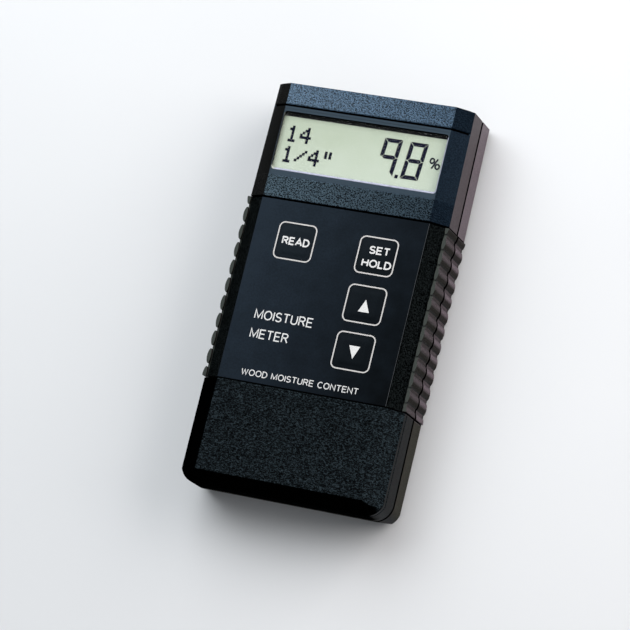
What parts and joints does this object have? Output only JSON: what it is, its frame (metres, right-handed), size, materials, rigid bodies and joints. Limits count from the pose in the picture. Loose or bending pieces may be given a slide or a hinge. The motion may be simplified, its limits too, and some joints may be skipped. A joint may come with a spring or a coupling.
{
  "type": "moisture meter",
  "caption": "Hand-held pinless moisture meter: ribbed two-shell case, large display under a clear window, press keys, flat measuring pad on the back and a sliding battery door.",
  "frame": {"origin": "middle of the case outline on the measuring face, the flat back that rests on the floor board; the front face is up", "axes": "+X to the right and +Y towards the display end as the display is read, +Z out of the front face"},
  "size_m": [0.0732, 0.14, 0.0244],
  "materials": {
    "case_plastic": "leather-grained black-blue ABS, smooth round the display, satin on the side walls",
    "overlay_film": "satin printed polyester film, navy black",
    "key_film": "satin embossed film key, navy black with white print",
    "clear_window": "clear glossy window",
    "lcd": "reflective grey-green liquid-crystal display with near-black segments",
    "holder_plastic": "black moulded frame",
    "contact_rubber": "grey conductive rubber strip",
    "dome_steel": "thin stainless snap dome",
    "circuit_board": "green solder mask",
    "chip_body": "black moulded epoxy",
    "component_can": "plain metal can",
    "sensor_plastic": "smooth black plastic, satin",
    "electrode_copper": "tinned copper sheet",
    "header_plastic": "black moulded header",
    "battery_can": "lacquered metal jacket, plain black with a copper-coloured end band",
    "terminal_steel": "nickel-plated steel",
    "snap_plastic": "black vinyl-covered snap plate",
    "lead_red": "red PVC insulation",
    "lead_black": "black PVC insulation",
    "foam": "dark grey foam",
    "screw_zinc": "zinc-plated steel"
  },
  "bodies": {
    "case": {"amplifier_chip": "chip_body", "battery": "battery_can", "battery_lead_black": "lead_black", "battery_lead_red": "lead_red", "battery_negative": "terminal_steel", "battery_positive": "terminal_steel", "battery_snap": "snap_plastic", "board_screw_lower_left": "screw_zinc", "board_screw_lower_right": "screw_zinc", "board_screw_upper_left": "screw_zinc", "board_screw_upper_right": "screw_zinc", "case_screw_head_left": "screw_zinc", "case_screw_head_right": "screw_zinc", "case_screw_mid_left": "screw_zinc", "case_screw_mid_right": "screw_zinc", "display_window": "clear_window", "down_key_dome": "dome_steel", "filter_capacitor": "component_can", "front_shell": "case_plastic", "header_plug": "header_plastic", "header_socket": "header_plastic", "keypad_overlay": "overlay_film", "lcd_glass": "lcd", "lcd_holder": "holder_plastic", "main_board": "circuit_board", "measuring_plate": "electrode_copper", "measuring_ring": "electrode_copper", "microcontroller": "chip_body", "oscillator_crystal": "component_can", "read_key_dome": "dome_steel", "rear_shell": "case_plastic", "sensor_board": "circuit_board", "sensor_cover": "sensor_plastic", "sensor_screw_lower_left": "screw_zinc", "sensor_screw_lower_right": "screw_zinc", "sensor_screw_upper_left": "screw_zinc", "sensor_screw_upper_right": "screw_zinc", "set_hold_key_dome": "dome_steel", "up_key_dome": "dome_steel", "voltage_regulator": "chip_body", "zebra_strip_lower": "contact_rubber", "zebra_strip_upper": "contact_rubber"},
    "read_key_body": {"read_key": "key_film"},
    "set_hold_key_body": {"set_hold_key": "key_film"},
    "up_key_body": {"up_key": "key_film"},
    "down_key_body": {"down_key": "key_film"},
    "door": {"battery_door": "case_plastic", "battery_pad": "foam"}
  },
  "joints": [
    {"name": "read_key_press", "type": "slide", "parent": "case", "child": "read_key_body", "axis": [0, 0, -1], "range_m": [0, 0.0004], "stiffness_N_per_m": 1500, "springref_m": -0.0003},
    {"name": "set_hold_key_press", "type": "slide", "parent": "case", "child": "set_hold_key_body", "axis": [0, 0, -1], "range_m": [0, 0.0004], "stiffness_N_per_m": 1500, "springref_m": -0.0003},
    {"name": "up_key_press", "type": "slide", "parent": "case", "child": "up_key_body", "axis": [0, 0, -1], "range_m": [0, 0.0004], "stiffness_N_per_m": 1500, "springref_m": -0.0003},
    {"name": "down_key_press", "type": "slide", "parent": "case", "child": "down_key_body", "axis": [0, 0, -1], "range_m": [0, 0.0004], "stiffness_N_per_m": 1500, "springref_m": -0.0003},
    {"name": "battery_door_slide", "type": "slide", "parent": "case", "child": "door", "axis": [0, -1, 0], "range_m": [0, 0.03]}
  ]
}
